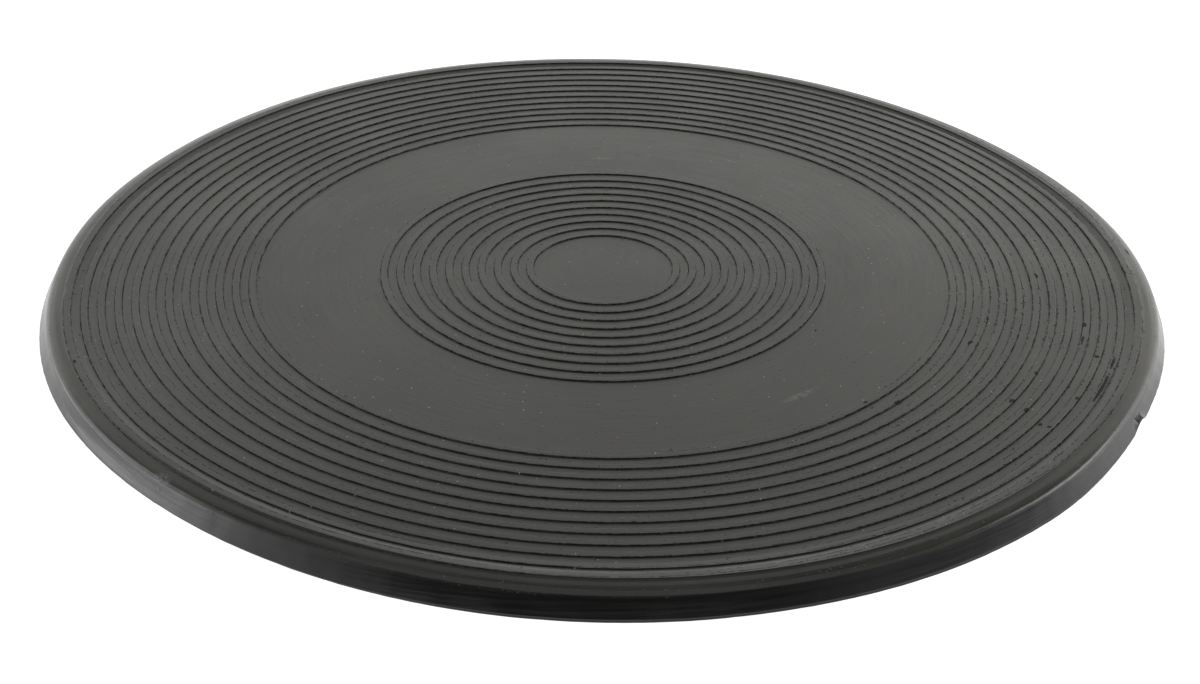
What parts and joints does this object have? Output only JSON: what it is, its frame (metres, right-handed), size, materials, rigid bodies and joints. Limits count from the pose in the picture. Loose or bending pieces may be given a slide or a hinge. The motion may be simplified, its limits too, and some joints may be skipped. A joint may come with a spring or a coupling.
{
  "type": "practice pad",
  "caption": "Round low rubber practice pad with concentric rings of low ribs, a smooth centre, a sloping border and a flared skirt over a thin board.",
  "frame": {"origin": "middle of the underside, on the surface the pad rests on", "axes": "+Z out of the playing face; the pad is round, so X and Y are arbitrary"},
  "size_m": [0.3426, 0.3426, 0.0082],
  "materials": {
    "cap_rubber": "satin",
    "foam": "matt",
    "hardboard": "matt",
    "base_rubber": "matt"
  },
  "bodies": {
    "root": {"playing_surface": "cap_rubber", "damping_layer": "foam", "core_board": "hardboard", "base_sheet": "base_rubber"}
  },
  "joints": []
}
